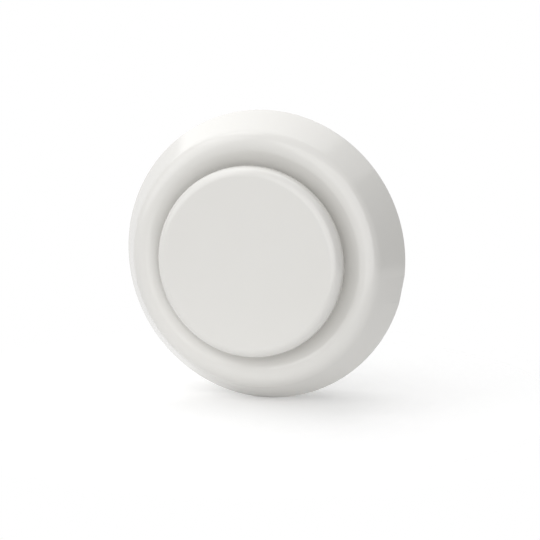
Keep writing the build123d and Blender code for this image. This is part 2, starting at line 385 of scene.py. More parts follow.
# %% [markdown]
# ## The skin of a moulding
# A moulding is never one flat colour: the plastic flows and cools unevenly, so its shade drifts a
# little over some centimetres and its gloss over some millimetres, and the skin has a very fine
# ripple. Every plastic here shows this in its own measure, so it is one shader group with named
# inputs. It gives out a colour, a roughness and a height, and the shader itself stays in the material.


# %% Shader group for moulded skin
def build_skin_group():
    tree, given, result = open_tree(
        "moulded_skin",
        "ShaderNodeTree",
        {
            "Position": "NodeSocketVector",
            "Colour": "NodeSocketColor",
            "Flow Colour": "NodeSocketColor",
            "Roughness": "NodeSocketFloat",
            "Gloss Drift": "NodeSocketFloat",
            "Ripple Scale": "NodeSocketFloat",
        },
        {
            "Colour": "NodeSocketColor",
            "Roughness": "NodeSocketFloat",
            "Height": "NodeSocketFloat",
        },
    )
    flow = add(tree, "ShaderNodeTexNoise", {"Scale": 28.0, "Detail": 3.0, "Distortion": 0.6})
    colour = add(tree, "ShaderNodeMix", data_type="RGBA")
    gloss = add(tree, "ShaderNodeTexNoise", {"Scale": 160.0, "Detail": 2.0})
    drift = add(tree, "ShaderNodeMath", {1: 0.5}, operation="SUBTRACT")
    rough = add(tree, "ShaderNodeMath", operation="MULTIPLY_ADD")
    ripple = add(tree, "ShaderNodeTexNoise", {"Detail": 1.0})
    wire(
        tree,
        (given["Position"], flow.inputs["Vector"]),
        (given["Position"], gloss.inputs["Vector"]),
        (given["Position"], ripple.inputs["Vector"]),
        (given["Ripple Scale"], ripple.inputs["Scale"]),
        (flow.outputs["Fac"], colour.inputs["Factor"]),
        (given["Colour"], colour.inputs["A"]),
        (given["Flow Colour"], colour.inputs["B"]),
        (gloss.outputs["Fac"], drift.inputs[0]),
        (drift.outputs[0], rough.inputs[0]),
        (given["Gloss Drift"], rough.inputs[1]),
        (given["Roughness"], rough.inputs[2]),
        (colour.outputs["Result"], result["Colour"]),
        (rough.outputs[0], result["Roughness"]),
        (ripple.outputs["Fac"], result["Height"]),
    )
    return tree


skin_group = build_skin_group()
print("moulded_skin:", len(skin_group.nodes), "nodes")

# %% [markdown]
# ## The plastics
# The body and the disc are the same glossy white. The mounting ring, which nobody sees once the
# valve is up, is a plainer satin white, and the spindle and nut are a natural, slightly creamy
# engineering plastic. All three come from one function with different values, which is how a
# moulder would think of them too: same process, other granulate and other tool polish.


# %% Plastic materials
def plastic(name, colour, flow_colour, roughness, gloss_drift, ripple, ior=1.5):
    """A moulded plastic with drifting shade and gloss and a fine ripple."""
    material = bpy.data.materials.new(name)
    material.use_nodes = True
    tree = material.node_tree
    shader = tree.nodes["Principled BSDF"]
    shader.inputs["IOR"].default_value = ior
    place = add(tree, "ShaderNodeTexCoord")
    skin = add(tree, "ShaderNodeGroup", node_tree=skin_group)
    for socket, value in {
        "Colour": (*colour, 1),
        "Flow Colour": (*flow_colour, 1),
        "Roughness": roughness,
        "Gloss Drift": gloss_drift,
        "Ripple Scale": ripple["scale"],
    }.items():
        skin.inputs[socket].default_value = value
    bump = add(tree, "ShaderNodeBump", {"Strength": ripple["strength"], "Distance": 0.1 * MM})
    wire(
        tree,
        (place.outputs["Object"], skin.inputs["Position"]),
        (skin.outputs["Colour"], shader.inputs["Base Color"]),
        (skin.outputs["Roughness"], shader.inputs["Roughness"]),
        (skin.outputs["Height"], bump.inputs["Height"]),
        (bump.outputs["Normal"], shader.inputs["Normal"]),
    )
    return material


white_gloss = plastic(
    "white_gloss_plastic",
    (0.770, 0.758, 0.728),
    (0.785, 0.775, 0.748),
    roughness=0.16,
    gloss_drift=0.06,
    ripple={"scale": 420.0, "strength": 0.04},
    ior=1.6,
)
satin_white = plastic(
    "satin_white_plastic",
    (0.70, 0.695, 0.66),
    (0.74, 0.735, 0.70),
    roughness=0.42,
    gloss_drift=0.16,
    ripple={"scale": 900.0, "strength": 0.25},
)
natural_plastic = plastic(
    "natural_plastic",
    (0.66, 0.635, 0.56),
    (0.70, 0.68, 0.61),
    roughness=0.36,
    gloss_drift=0.14,
    ripple={"scale": 700.0, "strength": 0.2},
)
print("plastics:", white_gloss.name, satin_white.name, natural_plastic.name)

# %% [markdown]
# ## Foam and plated steel
# The gasket is closed-cell foam: a dark sheet full of tiny bubbles, some cut open by the die. A
# Voronoi pattern gives the bubbles their walls, and the middle of each cell is painted darker, as
# painted shade inside the open bubble. The washer and the clip are stamped steel with a thin bright
# zinc plating, which shows a faint grain from rolling and a slightly uneven gloss.


# %% Foam material
def foam(name, wall_colour, bubble_shade_colour):
    """Closed-cell foam, with bubbles about half a millimetre across, their hollows painted darker as
    shade.
    """
    material = bpy.data.materials.new(name)
    material.use_nodes = True
    tree = material.node_tree
    shader = tree.nodes["Principled BSDF"]
    place = add(tree, "ShaderNodeTexCoord")
    bubbles = add(tree, "ShaderNodeTexVoronoi", {"Scale": 1900.0}, feature="F1")
    # The darker colour in the middle of each cell is painted shade inside the open bubble.
    shade = add(tree, "ShaderNodeValToRGB")
    shade.color_ramp.elements[0].color = (*bubble_shade_colour, 1)
    shade.color_ramp.elements[1].color = (*wall_colour, 1)
    shade.color_ramp.elements[1].position = 0.75
    rough = add(tree, "ShaderNodeMapRange", {"To Min": 0.95, "To Max": 0.72})
    bump = add(tree, "ShaderNodeBump", {"Strength": 0.7, "Distance": 0.15 * MM})
    wire(
        tree,
        (place.outputs["Object"], bubbles.inputs["Vector"]),
        (bubbles.outputs["Distance"], shade.inputs["Fac"]),
        (bubbles.outputs["Distance"], rough.inputs["Value"]),
        (shade.outputs["Color"], shader.inputs["Base Color"]),
        (rough.outputs["Result"], shader.inputs["Roughness"]),
        (bubbles.outputs["Distance"], bump.inputs["Height"]),
        (bump.outputs["Normal"], shader.inputs["Normal"]),
    )
    return material


dark_foam = foam("closed_cell_foam", (0.052, 0.052, 0.056), (0.018, 0.018, 0.020))
print("foam:", dark_foam.name)


# %% Plated steel material
def plated_steel(name):
    """Zinc-plated strip steel, with a rolling grain along X."""
    material = bpy.data.materials.new(name)
    material.use_nodes = True
    tree = material.node_tree
    shader = tree.nodes["Principled BSDF"]
    shader.inputs["Metallic"].default_value = 1.0
    place = add(tree, "ShaderNodeTexCoord")
    stretch = add(tree, "ShaderNodeMapping", {"Scale": (120.0, 2600.0, 2600.0)})
    grain = add(tree, "ShaderNodeTexNoise", {"Scale": 1.0, "Detail": 2.0})
    bloom = add(tree, "ShaderNodeTexNoise", {"Scale": 260.0, "Detail": 3.0})
    colour = add(tree, "ShaderNodeMix", data_type="RGBA")
    colour.inputs["A"].default_value = (0.50, 0.51, 0.53, 1)
    colour.inputs["B"].default_value = (0.66, 0.66, 0.65, 1)
    rough = add(tree, "ShaderNodeMapRange", {"To Min": 0.22, "To Max": 0.42})
    bump = add(tree, "ShaderNodeBump", {"Strength": 0.12, "Distance": 0.02 * MM})
    wire(
        tree,
        (place.outputs["Object"], stretch.inputs["Vector"]),
        (stretch.outputs["Vector"], grain.inputs["Vector"]),
        (place.outputs["Object"], bloom.inputs["Vector"]),
        (bloom.outputs["Fac"], colour.inputs["Factor"]),
        (colour.outputs["Result"], shader.inputs["Base Color"]),
        (grain.outputs["Fac"], rough.inputs["Value"]),
        (rough.outputs["Result"], shader.inputs["Roughness"]),
        (grain.outputs["Fac"], bump.inputs["Height"]),
        (bump.outputs["Normal"], shader.inputs["Normal"]),
    )
    return material


bright_zinc = plated_steel("zinc_plated_steel")
print("steel:", bright_zinc.name)

# %% [markdown]
# ## The body's wall
# The body is one injection moulding. In section it is a wall of even thickness that runs up the
# skirt, over the nose, down the funnel and back along the throat tube. Because the nose is round and
# tangent to both cones, its sharp corner is easy to work out, and the tree rounds it. The inner face
# is the same line set back by the wall, so its nose has a smaller radius.

# %% Lines of the body's section
FLANK = radians(31.0)
FUNNEL = radians(63.0)
NOSE_RADIUS = 9.5
BODY_WALL = 2.2
MID_WALL = BODY_WALL / 2
RIM_LAND = 0.8
nose_y = nose_front + NOSE_RADIUS
nose_r = rim_radius - NOSE_RADIUS / cos(FLANK) + (nose_y + RIM_LAND) * tan(FLANK)


def nose_corner(inset):
    """Where skirt and funnel would meet if the nose were sharp, with the nose's rounding."""
    half_turn = (pi - FUNNEL - FLANK) / 2
    out = (NOSE_RADIUS - inset) / cos(half_turn)
    towards = FLANK + half_turn
    return nose_r + out * cos(towards), nose_y - out * sin(towards), NOSE_RADIUS - inset


def funnel_y(inset, radius):
    """How deep the funnel's cone lies at a radius."""
    start_r = nose_r - (NOSE_RADIUS - inset) * cos(FUNNEL)
    start_y = nose_y - (NOSE_RADIUS - inset) * sin(FUNNEL)
    return start_y + (start_r - radius) / tan(FUNNEL)


def skirt_r(inset, y):
    """The radius of the skirt's cone at a depth."""
    return rim_radius + (y + RIM_LAND) * tan(FLANK) - inset / cos(FLANK)


print("nose centre, radius and y:", round(nose_r, 2), round(nose_y, 2))

# %% Turn the body's wall
THROAT_RADIUS = 50.0
HUB_TAIL = 4.0
NOSE_STEPS = 28
throat_outer = THROAT_RADIUS + BODY_WALL
throat_rear = hub_rear - HUB_TAIL
body = turned(
    "body_moulding",
    [
        (rim_radius, 0, 0.3),
        (rim_radius, -RIM_LAND, 0.3),
        nose_corner(0),
        (THROAT_RADIUS, funnel_y(0, THROAT_RADIUS), 1.5),
        (THROAT_RADIUS, throat_rear, 0.5),
        (throat_outer, throat_rear, 0.3),
        (throat_outer, funnel_y(BODY_WALL, throat_outer), 0.8),
        nose_corner(BODY_WALL),
        (skirt_r(BODY_WALL, 0), 0, 0.3),
    ],
    white_gloss,
    corner_steps=NOSE_STEPS,
)
print("wall:", len(body.data.polygons), "faces")

# %% [markdown]
# ## What stands behind the nose
# A collar pushes into the mounting ring, three small lugs on it hook into the ring's tracks, and a
# ledge beside it presses the gasket. Twelve thin webs stiffen the skirt. The collar and its ledge are
# one more turned section, the lugs are short arcs and the webs are plates. All of them start inside
# the wall, so that the join leaves no seam.

# %% Collar, lugs and webs
SPIGOT_WALL = 1.8
SPIGOT_RADIUS = 61.8
COLLAR_PLAY, COLLAR_WALL, COLLAR_TAIL = 0.3, 2.0, 1.5
LUG_FRONT, LUG_REAR, LUG_SPAN = 5.5, 9.0, 8.0
LUG_COUNT, LUG_ANGLE, LUG_INSET = 3, 30, 0.5
LEDGE_OVERHANG, LEDGE_THICKNESS = 0.6, 2.0
WEB_COUNT, WEB_ANGLE, WEB_THICKNESS = 12, 15, 1.6
spigot_inner = SPIGOT_RADIUS - SPIGOT_WALL
collar_radius = spigot_inner - COLLAR_PLAY
collar_inner = collar_radius - COLLAR_WALL
collar_rear = LUG_REAR + COLLAR_TAIL
lug_radius = SPIGOT_RADIUS - LUG_INSET
ledge_radius = gasket_radius + LEDGE_OVERHANG
ledge_front = gasket_front - LEDGE_THICKNESS
collar = turned(
    "collar",
    [
        (collar_inner, funnel_y(MID_WALL, collar_inner), 0),
        (collar_inner, collar_rear, 0.5),
        (collar_radius, collar_rear, 0.7),
        (collar_radius, gasket_front, 0.4),
        (ledge_radius, gasket_front, 0.3),
        (ledge_radius, ledge_front, 0.3),
        (collar_radius, ledge_front, 0.8),
        (collar_radius, funnel_y(MID_WALL, collar_radius), 0),
    ],
    white_gloss,
    corner_steps=5,
)
lug_root = (collar_radius + collar_inner) / 2
lug = sector(
    "lug",
    [
        (lug_root, LUG_FRONT, 0),
        (lug_radius, LUG_FRONT, 0.4),
        (lug_radius, LUG_REAR, 0.4),
        (lug_root, LUG_REAR, 0),
    ],
    LUG_SPAN,
    white_gloss,
)
web_rear = (ledge_front + gasket_front) / 2
web = plate(
    "web",
    [
        (lug_root, funnel_y(MID_WALL, lug_root), 0),
        nose_corner(MID_WALL),
        (skirt_r(MID_WALL, web_rear), web_rear, 0),
        (lug_root, web_rear, 0),
    ],
    WEB_THICKNESS,
    white_gloss,
)
work_round(body, collar, white_gloss)
work_round(body, lug, white_gloss, count=LUG_COUNT, start=LUG_ANGLE)
work_round(body, web, white_gloss, count=WEB_COUNT, start=WEB_ANGLE)
print("with collar, lugs and webs:", len(body.data.polygons), "faces")

# %% [markdown]
# ## The spider in the throat
# Three spokes carry a hub on the axis, and the spindle screws through that hub. The spokes stand in
# the air stream, so the tool maker rounds their edges. A Bevel modifier does that on the first
# spoke, and the tree copies it. Last of all, a shallow flat is cut on the rim where the moulding was
# trimmed from its runner.


# %% Hub, spokes and trimmed rim
def soften(piece, radius):
    """Round every edge of a plate."""
    bevel = piece.modifiers.new("soft edges", "BEVEL")
    bevel.width = radius * MM
    bevel.segments = 4
    keep_plain(piece)
    return piece


HUB_PLAY, HUB_WALL, HUB_LENGTH = 0.06, 5.4, 14.5
SPOKE_COUNT, SPOKE_ANGLE = 3, 90
SPOKE_DEPTH, SPOKE_THICKNESS, SPOKE_EDGE = 9.0, 3.2, 0.8
RIM_FLAT, FLAT_ANGLE = 0.4, -10.5
hub_bore = spindle_radius + HUB_PLAY
hub_radius = hub_bore + HUB_WALL
hub_front = hub_rear - HUB_LENGTH
hub = turned(
    "hub",
    [
        (hub_bore, hub_front, 0.3),
        (hub_radius, hub_front, 1.0),
        (hub_radius, hub_rear, 0.5),
        (hub_bore, hub_rear, 0.3),
    ],
    white_gloss,
    steps=96,
)
spoke_front = throat_rear - SPOKE_DEPTH
spoke_inner, spoke_outer = hub_bore + HUB_WALL / 2, THROAT_RADIUS + MID_WALL
spoke_corners = rectangle(spoke_inner, spoke_outer, spoke_front, throat_rear)
spoke = soften(plate("spoke", spoke_corners, SPOKE_THICKNESS, white_gloss), SPOKE_EDGE)
flat_corners = rectangle(rim_radius - RIM_FLAT, rim_radius + PAST, nose_front, PAST)
trim = plate("trim", flat_corners, rim_radius, white_gloss)
work_round(body, hub, white_gloss)
work_round(body, spoke, white_gloss, count=SPOKE_COUNT, start=SPOKE_ANGLE)
work_round(body, trim, white_gloss, start=FLAT_ANGLE, cut=True)
finish_piece(body, "valve_body", "valve")

# %% [markdown]
# ## The disc
# The disc is an open-backed cup: a flat face, a generously rounded edge and a short land. Behind the
# face stand twelve low ribs and a boss that the spindle is pressed into. Its section starts and ends
# on the axis, so it is an open line, and the tree closes the two poles by merging the points there.
# Six small round pads show where pins push the moulding out of its tool.

# %% Turn the disc and set its ribs
DISC_WALL = 2.2
EDGE_RADIUS = 5.5
DISC_LAND = 2.8
BOSS_WALL = 3.0
RIB_COUNT, RIB_HEIGHT, RIB_THICKNESS = 12, 4.2, 1.4
half_wall = DISC_WALL / 2
face_back = disc_front + DISC_WALL
lip_rear = disc_front + EDGE_RADIUS + DISC_LAND
lip_inner = disc_radius - DISC_WALL
boss_radius = spindle_radius + BOSS_WALL
disc = turned(
    "disc_moulding",
    [
        (0, disc_front, 0),
        (disc_radius, disc_front, EDGE_RADIUS),
        (disc_radius, lip_rear, 0.5),
        (lip_inner, lip_rear, 0.5),
        (lip_inner, face_back, EDGE_RADIUS - DISC_WALL),
        (boss_radius, face_back, 0.8),
        (boss_radius, boss_rear, 0.5),
        (spindle_radius, boss_rear, 0.2),
        (spindle_radius, spindle_front, 0),
        (0, spindle_front, 0),
    ],
    white_gloss,
    closed=False,
    corner_steps=24,
)
rib_inner = spindle_radius + BOSS_WALL / 2
rib_outer = disc_radius - half_wall
rib_foot = disc_front + half_wall
rib_rear = face_back + RIB_HEIGHT
rib = plate(
    "rib",
    [
        (rib_inner, rib_foot, 0),
        (rib_outer, rib_foot, EDGE_RADIUS - half_wall),
        (rib_outer, rib_rear, 0),
        (rib_inner, rib_rear, 0),
    ],
    RIB_THICKNESS,
    white_gloss,
)
work_round(disc, rib, white_gloss, count=RIB_COUNT)


# %% Pads of the ejector pins
def pin(name, radius, front, rear, at_radius, material, steps=32):
    """A short pin along the axis, standing off it."""
    post = rectangle(0, radius, front, rear)
    piece = turned(name, post, material, closed=False, corner_steps=2, steps=steps)
    for vertex in piece.data.vertices:
        vertex.co.x += at_radius * MM
    return piece


PAD_RADIUS, PAD_HEIGHT, PAD_CIRCLE = 3.0, 0.25, 34.0
PAD_COUNT, PAD_ANGLE = 6, 15
pad = pin("pad", PAD_RADIUS, rib_foot, face_back + PAD_HEIGHT, PAD_CIRCLE, white_gloss)
work_round(disc, pad, white_gloss, count=PAD_COUNT, start=PAD_ANGLE)
finish_piece(disc, "centre_disc", "disc")

# %% [markdown]
# ## The mounting ring
# The ring is screwed over the end of the duct before the valve goes in: a flat flange, and a spigot
# that slips into the pipe. The lugs of the body drop through three notches and turn behind the wall
# of the spigot, so each track is a notch in the flange, a window behind it and a longer window that
# the lug turns along. The three screw holes are cut in the same way, with a plain pin.

# %% Turn the ring and cut its tracks and holes
SPIGOT_CHAMFER = 0.8
TWIST = 18.0
TRACK_PLAY, TRACK_SIDE_PLAY = 0.3, 1.2
# The notch and the window behind it overlap a little, so that no skin is left between them.
NOTCH_REAR, ENTRY_FRONT = 0.5, 0.4
SCREW_HOLE, SCREW_COUNT, SCREW_ANGLE = 2.3, 3, 90
ring = turned(
    "ring_moulding",
    [
        (spigot_inner, flange_front, 0.3),
        (flange_radius, flange_front, 0.6),
        (flange_radius, 0, 0.2),
        (SPIGOT_RADIUS, 0, 0.4),
        (SPIGOT_RADIUS, spigot_rear - SPIGOT_CHAMFER, 0),
        (SPIGOT_RADIUS - SPIGOT_CHAMFER, spigot_rear, 0),
        (spigot_inner, spigot_rear, 0.2),
    ],
    satin_white,
    corner_steps=6,
)
track_span = LUG_SPAN + TRACK_SIDE_PLAY
track_front, track_rear = LUG_FRONT - TRACK_PLAY, LUG_REAR + TRACK_PLAY


def track_cut(name, front, rear, outer, span, middle):
    """An arc that clears the wall of the spigot, for a lug at angle 0."""
    corners = rectangle(spigot_inner - PAST, outer, front, rear)
    return sector(name, corners, span, satin_white, middle)


past_wall = SPIGOT_RADIUS + PAST
notch = track_cut("notch", flange_front - PAST, NOTCH_REAR, SPIGOT_RADIUS, track_span, TWIST)
entry = track_cut("entry", ENTRY_FRONT, track_rear, past_wall, track_span, TWIST)
run = track_cut("run", track_front, track_rear, past_wall, track_span + TWIST, TWIST / 2)
for cutter in (notch, entry, run):
    work_round(ring, cutter, satin_white, count=LUG_COUNT, start=LUG_ANGLE, cut=True)
screw_circle = (gasket_radius + flange_radius) / 2
hole = pin("hole", SCREW_HOLE, flange_front - PAST, PAST, screw_circle, satin_white)
work_round(ring, hole, satin_white, count=SCREW_COUNT, start=SCREW_ANGLE, cut=True)
finish_piece(ring, "mounting_ring", "ring")

# %% [markdown]
# ## The gasket
# The gasket is a ring die-cut from foam sheet and stuck to the body's ledge. Its edges are soft and its
# faces are not quite flat, so after turning the ring we press its points in a little by a smooth noise.

# %% Turn the gasket and dent it
GASKET_WIDTH, GASKET_EDGE = 5.4, 0.5
DENT_DEPTH, DENT_SCALE = 0.08, 180
gasket_inner = gasket_radius - GASKET_WIDTH
gasket_corners = rectangle(gasket_inner, gasket_radius, gasket_front, gasket_rear, GASKET_EDGE)
gasket = turned("foam_gasket", gasket_corners, dark_foam, corner_steps=5)
gasket_middle = (gasket_front + gasket_rear) / 2 * MM
for vertex in gasket.data.vertices:
    dent = abs(noise.noise(vertex.co * DENT_SCALE)) * DENT_DEPTH * MM
    vertex.co.y += -dent if vertex.co.y > gasket_middle else dent
finish_piece(gasket, "flange_gasket", "valve")

# %% [markdown]
# ## The spindle and its thread
# The spindle is pressed into the disc and screws through the hub, three millimetres for each turn.
# The thread could be faked with bump, but it shows in the throat and from behind, so it is modelled:
# a third tree sweeps a trapezoid along a spiral, lets it fade in and out at the ends, and joins the
# ridge to the core. The clip's groove is part of the core's section.


# %% Build the thread tree
def build_thread_tree():
    tree, given, result = open_tree(
        "screw_thread",
        "GeometryNodeTree",
        GEOMETRY
        | {
            "Start": "NodeSocketFloat",
            "Length": "NodeSocketFloat",
            "Pitch": "NodeSocketFloat",
            "Root Radius": "NodeSocketFloat",
            "Depth": "NodeSocketFloat",
            "Crest Width": "NodeSocketFloat",
            "Root Width": "NodeSocketFloat",
            "Steps per Turn": "NodeSocketInt",
            "Material": "NodeSocketMaterial",
        },
        GEOMETRY,
    )
    turns = add(tree, "ShaderNodeMath", operation="DIVIDE")
    spiral = add(tree, "GeometryNodeCurveSpiral")
    level = add(tree, "GeometryNodeSetCurveNormal", mode="Z_UP")
    ridge = add(tree, "GeometryNodeCurvePrimitiveQuadrilateral", {"Offset": 0.0}, mode="TRAPEZOID")
    outwards = add(tree, "GeometryNodeTransform", {"Rotation": (0, 0, -pi / 2)})
    wire(
        tree,
        (given["Length"], turns.inputs[0]),
        (given["Pitch"], turns.inputs[1]),
        (given["Steps per Turn"], spiral.inputs["Resolution"]),
        (turns.outputs[0], spiral.inputs["Rotations"]),
        (given["Root Radius"], spiral.inputs["Start Radius"]),
        (given["Root Radius"], spiral.inputs["End Radius"]),
        (given["Length"], spiral.inputs["Height"]),
        (spiral.outputs["Curve"], level.inputs["Curve"]),
        (given["Root Width"], ridge.inputs["Bottom Width"]),
        (given["Crest Width"], ridge.inputs["Top Width"]),
        (given["Depth"], ridge.inputs["Height"]),
        (ridge.outputs["Curve"], outwards.inputs["Geometry"]),
    )
    # The ridge fades over about half a turn at each end.
    along = add(tree, "GeometryNodeSplineParameter")
    from_end = add(tree, "ShaderNodeMath", {0: 1.0}, operation="SUBTRACT")
    nearest = add(tree, "ShaderNodeMath", operation="MINIMUM")
    in_turns = add(tree, "ShaderNodeMath", operation="MULTIPLY")
    fade = add(tree, "ShaderNodeMapRange", {"From Max": 0.5, "To Min": 0.3, "To Max": 1.0})
    swept = add(tree, "GeometryNodeCurveToMesh", {"Fill Caps": True})
    lift = add(tree, "ShaderNodeCombineXYZ")
    laid = add(tree, "GeometryNodeTransform", {"Rotation": (-pi / 2, 0, 0)})
    wire(
        tree,
        (along.outputs["Factor"], from_end.inputs[1]),
        (along.outputs["Factor"], nearest.inputs[0]),
        (from_end.outputs[0], nearest.inputs[1]),
        (nearest.outputs[0], in_turns.inputs[0]),
        (turns.outputs[0], in_turns.inputs[1]),
        (in_turns.outputs[0], fade.inputs["Value"]),
        (fade.outputs["Result"], swept.inputs["Scale"]),
        (level.outputs["Curve"], swept.inputs["Curve"]),
        (outwards.outputs["Geometry"], swept.inputs["Profile Curve"]),
        (given["Start"], lift.inputs["Y"]),
        (lift.outputs["Vector"], laid.inputs["Translation"]),
        (swept.outputs["Mesh"], laid.inputs["Geometry"]),
    )
    joined = add(tree, "GeometryNodeMeshBoolean", operation="UNION", solver="MANIFOLD")
    real = add(tree, "GeometryNodeRealizeInstances")
    dressed = add(tree, "GeometryNodeSetMaterial")
    wire(
        tree,
        (given["Geometry"], joined.inputs["Mesh 2"]),
        (laid.outputs["Geometry"], joined.inputs["Mesh 2"]),
        (joined.outputs["Mesh"], real.inputs["Geometry"]),
        (real.outputs["Geometry"], dressed.inputs["Geometry"]),
        (given["Material"], dressed.inputs["Material"]),
        (dressed.outputs["Geometry"], result["Geometry"]),
    )
    return tree


thread_tree = build_thread_tree()
print("screw_thread:", len(thread_tree.nodes), "nodes")

# %% Turn the spindle and cut its thread
PITCH = 3.0
THREAD_DEPTH, THREAD_SINK = 1.25, 0.25
CREST_WIDTH, ROOT_WIDTH = 0.9, 2.1
RUN_OUT, THREAD_END = 0.8, 2.6
GROOVE_DEPTH, GROOVE_ROOM = 1.2, 0.08
SHANK_TAIL, CLIP_LAND, TIP_CHAMFER = 1.5, 1.4, 0.8
groove_radius = spindle_radius - GROOVE_DEPTH
thread_root = spindle_radius - THREAD_DEPTH
shank_rear = boss_rear + SHANK_TAIL
spindle = turned(
    "screw_spindle",
    [
        (0, spindle_front, 0),
        (spindle_radius, spindle_front, 0.3),
        (spindle_radius, shank_rear, 0.3),
        (thread_root, shank_rear + RUN_OUT, 0),
        (thread_root, clip_front - CLIP_LAND - RUN_OUT, 0),
        (spindle_radius, clip_front - CLIP_LAND, 0),
        (spindle_radius, clip_front - GROOVE_ROOM, 0.1),
        (groove_radius, clip_front - GROOVE_ROOM, 0),
        (groove_radius, clip_rear + GROOVE_ROOM, 0),
        (spindle_radius, clip_rear + GROOVE_ROOM, 0.1),
        (spindle_radius, spindle_rear - TIP_CHAMFER, 0),
        (spindle_radius - TIP_CHAMFER, spindle_rear, 0),
        (0, spindle_rear, 0),
    ],
    natural_plastic,
    closed=False,
    corner_steps=4,
    steps=72,
)
thread_start = shank_rear + 2 * RUN_OUT
ridge_height = THREAD_DEPTH + THREAD_SINK
shape_with(
    spindle,
    thread_tree,
    {
        "Start": thread_start * MM,
        "Length": (clip_front - THREAD_END - thread_start) * MM,
        "Pitch": PITCH * MM,
        "Root Radius": (spindle_radius - ridge_height / 2) * MM,
        "Depth": ridge_height * MM,
        "Crest Width": CREST_WIDTH * MM,
        "Root Width": ROOT_WIDTH * MM,
        "Steps per Turn": 48,
        "Material": natural_plastic,
    },
)
finish_piece(spindle, "spindle", "disc")

# %% [markdown]
# ## Nut, washer and clip
# Behind the hub a finger nut locks the setting against a plain washer, and a spring clip on the end
# of the spindle keeps the disc from being screwed right out. The nut's twelve scallops are one pin
# cut round it. The clip is stamped from strip: a ring with a mouth, and two round notches that let
# it spring over the groove.

# %% Nut
NUT_WALL, NUT_CHAMFER = 7.0, 0.7
GRIP_RADIUS, GRIP_DEPTH, GRIP_COUNT = 2.2, 1.0, 12
nut_radius = hub_bore + NUT_WALL
nut = turned(
    "finger_nut",
    [
        (hub_bore, nut_front, 0.3),
        (nut_radius - NUT_CHAMFER, nut_front, 0.2),
        (nut_radius, nut_front + NUT_CHAMFER, 0.2),
        (nut_radius, nut_rear - NUT_CHAMFER, 0.2),
        (nut_radius - NUT_CHAMFER, nut_rear, 0.2),
        (hub_bore, nut_rear, 0.3),
    ],
    natural_plastic,
    corner_steps=3,
    steps=144,
)
grip_at = nut_radius - GRIP_DEPTH + GRIP_RADIUS
grip = pin("grip", GRIP_RADIUS, nut_front - PAST, nut_rear + PAST, grip_at, natural_plastic, steps=48)
work_round(nut, grip, natural_plastic, count=GRIP_COUNT, cut=True)
finish_piece(nut, "lock_nut", "nut")

# %% Washer and clip
BORE_EDGE, OUTER_EDGE = 0.1, 0.2


def stamped_ring(name, bore, radius, front, rear):
    """A flat steel ring, softer at its outer edge than in its bore."""
    corners = [
        (bore, front, BORE_EDGE),
        (radius, front, OUTER_EDGE),
        (radius, rear, OUTER_EDGE),
        (bore, rear, BORE_EDGE),
    ]
    return turned(name, corners, bright_zinc, corner_steps=3, steps=96)


WASHER_PLAY = 0.3
CLIP_MOUTH, MOUTH_ANGLE = 6.4, -90
EAR_RADIUS, EAR_OFFSET, EAR_COUNT, EAR_ANGLE = 1.1, 0.4, 2, 30
washer_bore = spindle_radius + WASHER_PLAY
washer = stamped_ring("flat_washer", washer_bore, washer_radius, washer_front, washer_rear)
finish_piece(washer, "lock_washer", "washer")
clip_bore = groove_radius + GROOVE_ROOM
clip = stamped_ring("spring_clip", clip_bore, clip_radius, clip_front, clip_rear)
cut_front, cut_rear = clip_front - PAST, clip_rear + PAST
mouth = plate("mouth", rectangle(0, clip_radius + PAST, cut_front, cut_rear), CLIP_MOUTH, bright_zinc)
work_round(clip, mouth, bright_zinc, start=MOUTH_ANGLE, cut=True)
ear = pin("ear", EAR_RADIUS, cut_front, cut_rear, clip_bore + EAR_OFFSET, bright_zinc)
work_round(clip, ear, bright_zinc, count=EAR_COUNT, start=EAR_ANGLE, cut=True)
finish_piece(clip, "stop_clip", "clip")

# %% [markdown]
# ## Floor and card
# The valve stands on its rim on a white sheet. A photographer would bend the sheet up behind it. Here
# the sheet fades out into the world, which the camera sees as plain white, so that only the valve's
# shadow is left on it. A grey card stands on the right, and the camera doesn't see it from any side.
# The skirt is glossy, so the card darkens its right side and ends there in a sharp line, as in the
# photograph.


# %% Floor and card
SHEET_ROUGHNESS = 0.9


def stage_sheet(name, corners, grey):
    """A flat sheet that isn't part of the valve, with the tree and shader of its finish."""
    mesh = bpy.data.meshes.new(name)
    mesh.from_pydata(corners, [], [(0, 1, 2, 3)])
    sheet = bpy.data.objects.new(name, mesh)
    bpy.context.scene.collection.objects.link(sheet)
    finish = bpy.data.materials.new(name)
    finish.use_nodes = True
    surface = finish.node_tree.nodes["Principled BSDF"]
    surface.inputs["Base Color"].default_value = (grey, grey, grey, 1)
    surface.inputs["Roughness"].default_value = SHEET_ROUGHNESS
    mesh.materials.append(finish)
    return sheet, finish.node_tree, surface


def white_when_seen(tree, unseen, seen):
    """One strength for what is seen, also in gloss or through glass, and another for light."""
    ray = add(tree, "ShaderNodeLightPath")
    either = add(tree, "ShaderNodeMath", operation="MAXIMUM")
    any_of_three = add(tree, "ShaderNodeMath", operation="MAXIMUM")
    strength = add(tree, "ShaderNodeMapRange", {"To Min": unseen, "To Max": seen})
    wire(
        tree,
        (ray.outputs["Is Camera Ray"], either.inputs[0]),
        (ray.outputs["Is Glossy Ray"], either.inputs[1]),
        (either.outputs[0], any_of_three.inputs[0]),
        (ray.outputs["Is Transmission Ray"], any_of_three.inputs[1]),
        (any_of_three.outputs[0], strength.inputs["Value"]),
    )
    return strength.outputs["Result"]


